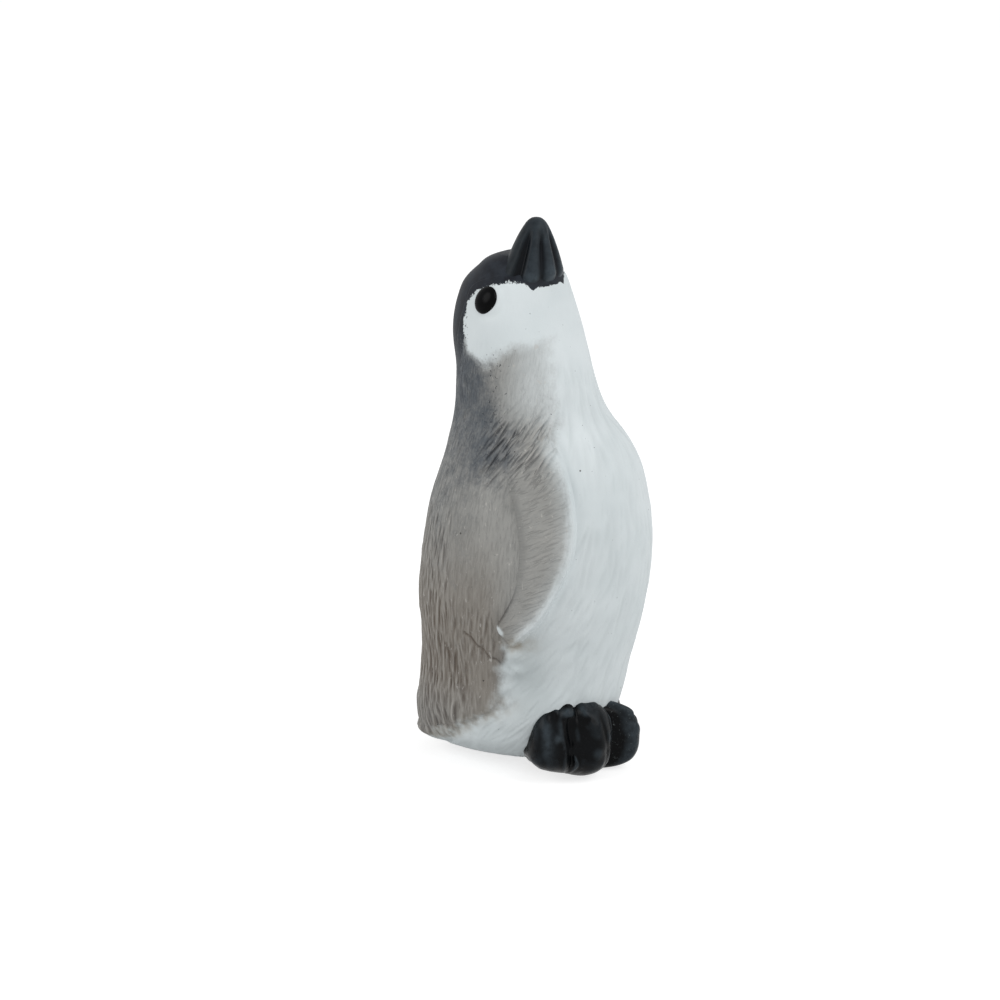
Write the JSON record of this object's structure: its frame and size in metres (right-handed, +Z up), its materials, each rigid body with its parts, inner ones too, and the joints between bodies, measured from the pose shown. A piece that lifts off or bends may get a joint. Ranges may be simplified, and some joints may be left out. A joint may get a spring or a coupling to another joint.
{
  "type": "penguin chick figurine",
  "caption": "Small penguin chick that stands upright with its beak raised and head turned, made of hollow torso and head shells with plug-in beak, bead eyes, flippers and feet.",
  "frame": {"origin": "on the ground, under the middle of the figurine's box", "axes": "+Z up, -Y the way the chick's body faces, +X towards the chick's left"},
  "size_m": [0.0224, 0.022, 0.05],
  "materials": {
    "white": "satin cool white, with soft carved down and a faint wash in the grooves",
    "taupe": "matt grey-brown paint with a brown wash in carved feather strokes",
    "charcoal": "satin charcoal paint with a brushed edge",
    "beak_black": "satin black paint",
    "eye_black": "gloss black",
    "foot_black": "gloss black paint"
  },
  "bodies": {
    "root": {"belly_shell": "white", "face_shell": "white", "back_shell": "taupe", "left_flipper": "taupe", "right_flipper": "taupe", "cap_shell": "charcoal", "beak": "beak_black", "left_eye": "eye_black", "right_eye": "eye_black", "left_foot": "foot_black", "right_foot": "foot_black"}
  },
  "joints": []
}
